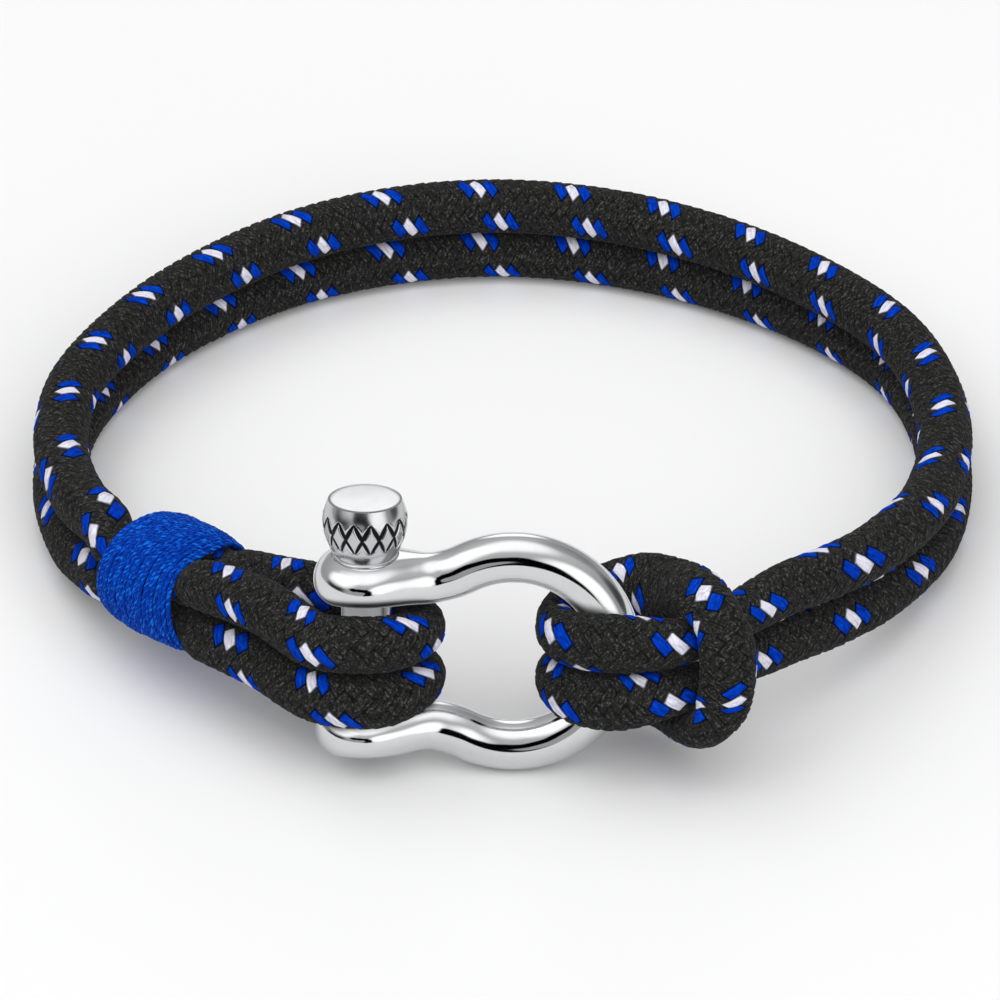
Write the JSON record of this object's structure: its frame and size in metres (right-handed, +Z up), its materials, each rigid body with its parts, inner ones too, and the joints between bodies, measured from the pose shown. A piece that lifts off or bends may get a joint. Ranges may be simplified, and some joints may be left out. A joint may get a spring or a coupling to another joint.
{
  "type": "fabric rope bracelet with bow shackle clasp",
  "caption": "Doubled braided cord bracelet lying on its side, hitched to a bow shackle whose barrel-headed screw pin holds the bound eyes of the cord.",
  "frame": {"origin": "middle of the object's box in plan, on the surface that it lies on", "axes": "+Z up, through the wrist opening; the clasp is at the front (-Y), with its pin to the left (-X) and the hitch to the right (+X)"},
  "size_m": [0.0754, 0.0754, 0.0234],
  "materials": {
    "cord": "matt charcoal braid with flecks of royal blue and white",
    "thread": "royal blue twisted thread with a soft sheen",
    "shackle_steel": "polished stainless steel",
    "pin_steel": "polished stainless steel with a blackened knurl"
  },
  "bodies": {
    "root": {"braided_cord": "cord", "binding": "thread", "shackle": "shackle_steel"},
    "pin": {"screw_pin": "pin_steel"}
  },
  "joints": [
    {"name": "pin_draw", "type": "slide", "parent": "root", "child": "pin", "axis": [0, 0.2147, 0.9767], "range_m": [0, 0.0165]}
  ]
}
